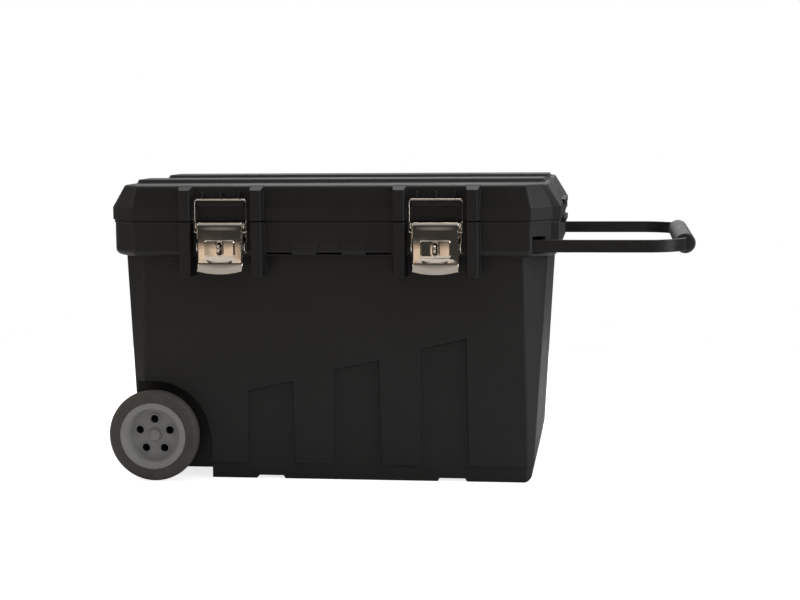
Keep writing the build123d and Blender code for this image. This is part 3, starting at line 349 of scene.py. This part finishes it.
def crown(x, z):
    """The sheet's gentle bow, down its height and across its width."""
    middle, half = (PIVOT_Z + FACE_END_Z) / 2, (PIVOT_Z - FACE_END_Z) / 2
    from_end = half - abs(z - middle)
    tall = CROWN_TALL * (1 - ((z - middle) / half) ** 2)
    return tall + CROWN_WIDE * (1 - (x / HALF_WIDTH) ** 2) * smooth_step(from_end, 0.0, CROWN_FADE)


def slot_reach(x, z):
    """Distance outside the staple slot."""
    return math.hypot(x, max(0.0, abs(z - PAD_Z) - SLOT_REACH)) - SLOT_HALF


def across():
    """Stations across the sheet: (x, how far the sheet is folded back)."""
    flat = HALF_WIDTH - FOLD_R
    side = [(flat + FOLD_R * math.sin(a), FOLD_R * (1 - math.cos(a))) for a in FOLD_ANGLES]
    side += [(HALF_WIDTH, FOLD_R + FLANGE * share) for share in (0.5, 1.0)]
    middle = [(flat * (2 * i / WIDTH_STEPS - 1), 0.0) for i in range(WIDTH_STEPS + 1)]
    return [(-x, fold) for x, fold in reversed(side)] + middle + side


def lever_sheet(latch_x):
    """The pressed sheet as a fine grid with the slot cut out of it."""
    path, stations = lever_path(), across()
    sheet = bmesh.new()
    rows = []
    for index, (y, z) in enumerate(path):
        before, after = path[max(0, index - 1)], path[min(len(path) - 1, index + 1)]
        along = Vector((after[0] - before[0], after[1] - before[1])).normalized()
        out_y, out_z = along.y, -along.x
        on_face = FACE_END_Z < z < PIVOT_Z and y < PIVOT_Y
        lip = smooth_step(FACE_END_Z - z, 0.0, FACE_END_Z - LIP_Z)
        row = []
        for x, fold in stations:
            rise = (pad_height(x, z) if on_face and fold == 0.0 else 0.0) - fold
            bow = LIP_BOW * lip * (x / HALF_WIDTH) ** 2
            place = Vector((latch_x + x, y + out_y * rise, z + out_z * rise + bow))
            row.append(sheet.verts.new(place / 1000))
        rows.append(row)
    for low, high in zip(rows, rows[1:]):
        for index in range(len(stations) - 1):
            sheet.faces.new((low[index], high[index], high[index + 1], low[index + 1]))
    cut_slot(sheet, latch_x)
    return sheet


def cut_slot(sheet, latch_x):
    """Takes out the faces inside the slot and draws its rim onto the slot's outline."""
    def local(point):
        return point.x * 1000 - latch_x, point.z * 1000

    front = [f for f in sheet.faces if f.calc_center_median().y * 1000 < PIVOT_Y - 3]
    inside = [f for f in front if slot_reach(*local(f.calc_center_median())) < 0]
    bmesh.ops.delete(sheet, geom=inside, context="FACES")
    for vert in [v for v in sheet.verts if v.is_boundary]:
        x, z = local(vert.co)
        if abs(slot_reach(x, z)) < RIM_SNAP:
            foot = min(SLOT_REACH, max(-SLOT_REACH, z - PAD_Z))
            arm = Vector((x, z - PAD_Z - foot)).normalized() * SLOT_HALF
            vert.co.x, vert.co.z = (latch_x + arm.x) / 1000, (PAD_Z + foot + arm.y) / 1000


def cheek(target, x, thick):
    """Adds one cheek plate: half round at the pivot, with the ear that holds the bail."""
    turns = [0.1 * i for i in range(31)]
    outline = [(PIVOT_Y + CHEEK_R * math.cos(a), PIVOT_Z + CHEEK_R * math.sin(a)) for a in turns]
    outline += EAR
    near = [target.verts.new(Vector((x, y, z)) / 1000) for y, z in outline]
    far = [target.verts.new(Vector((x + thick, y, z)) / 1000) for y, z in outline]
    target.faces.new(near)
    target.faces.new(list(reversed(far)))
    for index in range(len(outline)):
        other = (index + 1) % len(outline)
        target.faces.new((near[other], near[index], far[index], far[other]))


def as_object(source, name, material, angle=40.0):
    """Turns a bmesh into a smooth-shaded object with crisp folds."""
    bmesh.ops.recalc_face_normals(source, faces=source.faces)
    mesh = bpy.data.meshes.new(name)
    source.to_mesh(mesh)
    source.free()
    mesh.materials.append(material)
    mesh.shade_smooth()
    made = bpy.data.objects.new(name, mesh)
    scene.collection.objects.link(made)
    split = made.modifiers.new("crisp_folds", "EDGE_SPLIT")
    split.split_angle = math.radians(angle)
    return made


def make_lever(node_name):
    """The pressed lever that stands in for a plain CAD lever: its sheet and its two cheeks."""
    latch_x = LATCH_X[node_name]
    sheet = as_object(lever_sheet(latch_x), node_name + "_sheet", FINISH["latch_chrome"])
    wall = sheet.modifiers.new("thickness", "SOLIDIFY")
    wall.thickness = SHEET / 1000
    wall.offset = -1.0
    sheet.modifiers.move(1, 0)
    plates = bmesh.new()
    cheek(plates, latch_x - HALF_WIDTH + CHEEK_INSET, SHEET)
    cheek(plates, latch_x + HALF_WIDTH - CHEEK_INSET - SHEET, SHEET)
    cheeks = as_object(plates, node_name + "_cheeks", FINISH["latch_chrome"])
    soft = cheeks.modifiers.new("soft_edge", "BEVEL")
    soft.width, soft.segments, soft.limit_method = CHEEK_SOFT_M, 2, "ANGLE"
    cheeks.modifiers.move(1, 0)
    for piece in (sheet, cheeks):
        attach(piece, node_name)
        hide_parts(node_name)


for lever_name in LATCH_X:
    make_lever(lever_name)


# ---------------------------------------------------------------- stage
CEILING_GLOW, FRONT_GLOW, BACK_GLOW = 0.40, 0.04, 0.14
SWEEP_GLOW, SWEEP_TINT = 0.80, (1.0, 0.80, 0.62, 1.0)
FLOOR_HALF, FLOOR_EYE_GLOW = 1.3, 0.80
# name, place, what it points at, size, watts, tint
SOFTBOXES = (
    ("key_over", (0.3, 0.5, 2.8), (0.0, 0.0, 0.3), (2.6, 1.4), 40.0, (1.0, 1.0, 1.0)),
    ("fill_left", (-2.8, -0.9, 1.5), (0.0, 0.0, 0.25), (0.9, 1.6), 12.0, (1.0, 0.90, 0.80)),
    ("fill_right", (2.6, -0.9, 1.1), (0.2, 0.0, 0.25), (0.7, 1.6), 22.0, (1.0, 1.0, 1.0)),
    ("rim_back", (0.2, 2.8, 1.6), (0.0, 0.0, 0.35), (3.0, 1.4), 14.0, (1.0, 1.0, 1.0)),
)


def area_light(name, at, towards, size, power, tint):
    """One softbox."""
    data = bpy.data.lights.new(name, "AREA")
    data.shape = "RECTANGLE"
    data.size, data.size_y = size
    data.energy = power
    data.color = tint
    lamp = bpy.data.objects.new(name, data)
    lamp.location = at
    lamp.rotation_mode = "QUATERNION"
    lamp.rotation_quaternion = (Vector(towards) - Vector(at)).to_track_quat("-Z", "Y")
    scene.collection.objects.link(lamp)


def pale_world():
    """White backdrop for the eye; for the object a bright ceiling, a mid back wall and, in front,
    a dim room with a warm bright sweep low on the left."""
    world = bpy.data.worlds.new("studio")
    world.use_nodes = True
    tree = world.node_tree
    tree.nodes.clear()

    def link(kind, **inputs):
        made = tree.nodes.new(kind)
        for key, value in inputs.items():
            socket = made.inputs[int(key[1:])] if key[1:].isdigit() else made.inputs[key]
            if isinstance(value, bpy.types.NodeSocket):
                tree.links.new(value, socket)
            else:
                socket.default_value = value
        return made

    def ramp(axis, start, end, low, high):
        return link("ShaderNodeMapRange", _0=ways.outputs[axis], _1=start, _2=end, _3=low, _4=high).outputs[0]

    def join(operation, first, second):
        made = link("ShaderNodeMath", _0=first, _1=second)
        made.operation = operation
        return made.outputs[0]

    ways = link("ShaderNodeSeparateXYZ", _0=link("ShaderNodeTexCoord").outputs["Generated"])
    ceiling = ramp("Z", 0.15, 0.75, 0.0, CEILING_GLOW)
    walls = ramp("Y", 0.1, 0.9, FRONT_GLOW, BACK_GLOW)
    room = link("ShaderNodeBackground", Strength=join("ADD", ceiling, walls), Color=grey(1.0, 0.02))
    low_left = join("MULTIPLY", ramp("Z", -0.05, -0.12, 0.0, 1.0), ramp("X", -0.06, -0.18, 0.0, 1.0))
    glow = join("MULTIPLY", low_left, ramp("Y", -0.3, -0.7, 0.0, SWEEP_GLOW))
    sweep = link("ShaderNodeBackground", Strength=glow, Color=SWEEP_TINT)
    lighting = link("ShaderNodeAddShader", _0=room.outputs[0], _1=sweep.outputs[0])
    seen = link("ShaderNodeBackground", Strength=1.0, Color=grey(1.0))
    eye = link("ShaderNodeLightPath").outputs["Is Camera Ray"]
    both = link("ShaderNodeMixShader", _0=eye, _1=lighting.outputs[0], _2=seen.outputs[0])
    link("ShaderNodeOutputWorld", _0=both.outputs[0])
    scene.world = world


def make_floor():
    """Pale floor that runs into the backdrop and keeps only a faint contact shadow."""
    mesh = bpy.data.meshes.new("floor")
    corners = [(x * FLOOR_HALF, y * FLOOR_HALF, 0) for x, y in ((-1, -1), (1, -1), (1, 1), (-1, 1))]
    mesh.from_pydata(corners, [], [(0, 1, 2, 3)])
    floor = bpy.data.objects.new("floor", mesh)
    scene.collection.objects.link(floor)
    s = Shader("floor_paint")
    base = s.blend(s.noise(3.0), grey(0.80), grey(0.84))
    eye = s.node("ShaderNodeLightPath").outputs["Is Camera Ray"]
    glow = s.span(eye, 0.0, 1.0, 0.0, FLOOR_EYE_GLOW)
    paint = s.surface(Base_Color=base, Roughness=0.8, Emission_Color=grey(1.0), Emission_Strength=glow)
    mesh.materials.append(paint)


make_floor()
pale_world()
for softbox in SOFTBOXES:
    area_light(*softbox)
scene.view_settings.view_transform = "Standard"
